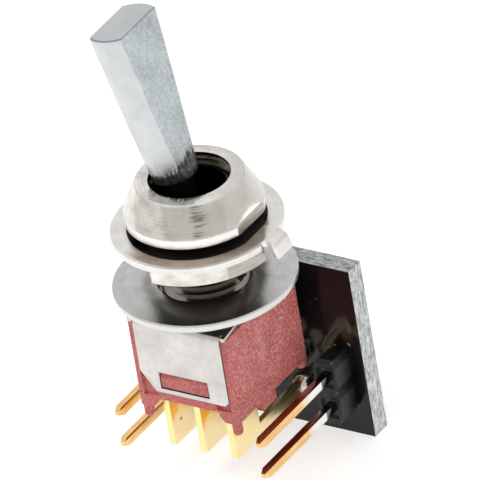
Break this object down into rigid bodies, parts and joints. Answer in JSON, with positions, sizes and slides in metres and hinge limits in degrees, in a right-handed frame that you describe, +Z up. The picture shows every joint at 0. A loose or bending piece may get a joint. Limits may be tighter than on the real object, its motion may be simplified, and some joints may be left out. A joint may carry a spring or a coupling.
{
  "type": "toggle switch",
  "caption": "Sub-miniature toggle switch with a flatted lever, threaded bushing and nuts, on a small right-angle board with pin headers.",
  "frame": {"origin": "on the bushing's axis, at the top face of the large flat washer", "axes": "+Z up the bushing's axis towards the lever, +Y from the strap's front face back to the board, +X the way the locking ring's tab points; the lever swings in the XZ plane"},
  "size_m": [0.0152, 0.0154, 0.0359],
  "materials": {
    "satin_nickel": "satin, lightly worn nickel plating",
    "pin_steel": "ground steel",
    "seal_rubber": "black rubber",
    "bushing_nickel": "bright nickel plating",
    "turned_nickel": "nickel plating over fine turning lines",
    "polished_nickel": "polished nickel",
    "washer_steel": "polished steel with a fine grain",
    "strap_steel": "bright rolled stainless steel",
    "red_thermoset": "mottled red glass-filled thermoset",
    "white_nylon": "natural nylon",
    "spring_wire": "bright music wire",
    "contact_silver": "silver-plated contact strip",
    "gold_terminal": "bright gold plating",
    "gold_pin": "gold plating, darker and redder",
    "black_board": "glossy black solder mask, pale glass-fibre edges",
    "black_header": "black glass-filled nylon",
    "solder": "bright solder"
  },
  "bodies": {
    "base": {"lever_seal": "seal_rubber", "bushing": "bushing_nickel", "dress_nut": "turned_nickel", "locking_ring": "polished_nickel", "back_nut": "turned_nickel", "flat_washer": "washer_steel", "frame_strap": "strap_steel", "housing": "red_thermoset", "terminal_front_left": "gold_terminal", "terminal_front_centre": "gold_terminal", "terminal_front_right": "gold_terminal", "terminal_rear_left": "gold_terminal", "terminal_rear_centre": "gold_terminal", "terminal_rear_right": "gold_terminal", "circuit_board": "black_board", "header_left": "black_header", "header_right": "black_header", "header_pin_left_upper": "gold_pin", "header_pin_left_lower": "gold_pin", "header_pin_right_upper": "gold_pin", "header_pin_right_lower": "gold_pin", "solder_joints": "solder"},
    "lever": {"lever": "satin_nickel", "pivot_pin": "pin_steel", "actuator": "white_nylon", "spring_front": "spring_wire", "spring_rear": "spring_wire"},
    "plunger_front": {"plunger_front": "white_nylon"},
    "plunger_rear": {"plunger_rear": "white_nylon"},
    "rocker_front": {"rocker_front": "contact_silver"},
    "rocker_rear": {"rocker_rear": "contact_silver"}
  },
  "joints": [
    {"name": "lever_swing", "type": "hinge", "parent": "base", "child": "lever", "pos_m": [0, 0, 0.0021], "axis": [0, 1, 0], "range_deg": [0, 22]},
    {"name": "rocker_front_tilt", "type": "hinge", "parent": "base", "child": "rocker_front", "pos_m": [0, -0.0022, -0.0058], "axis": [0, 1, 0], "range_deg": [-16, 0]},
    {"name": "rocker_rear_tilt", "type": "hinge", "parent": "base", "child": "rocker_rear", "pos_m": [0, 0.0022, -0.0058], "axis": [0, 1, 0], "range_deg": [-16, 0]},
    {"name": "plunger_front_press", "type": "slide", "parent": "lever", "child": "plunger_front", "axis": [-0.1908, 0, 0.9816], "range_m": [0, 0.0004], "stiffness_N_per_m": 300, "springref_m": -0.0005, "deforming": ["spring_front"]},
    {"name": "plunger_rear_press", "type": "slide", "parent": "lever", "child": "plunger_rear", "axis": [-0.1908, 0, 0.9816], "range_m": [0, 0.0004], "stiffness_N_per_m": 300, "springref_m": -0.0005, "deforming": ["spring_rear"]}
  ],
  "couplings": [
    {"joint": "rocker_front_tilt", "follows": "lever_swing", "ratio": -0.727},
    {"joint": "rocker_rear_tilt", "follows": "lever_swing", "ratio": -0.727}
  ]
}
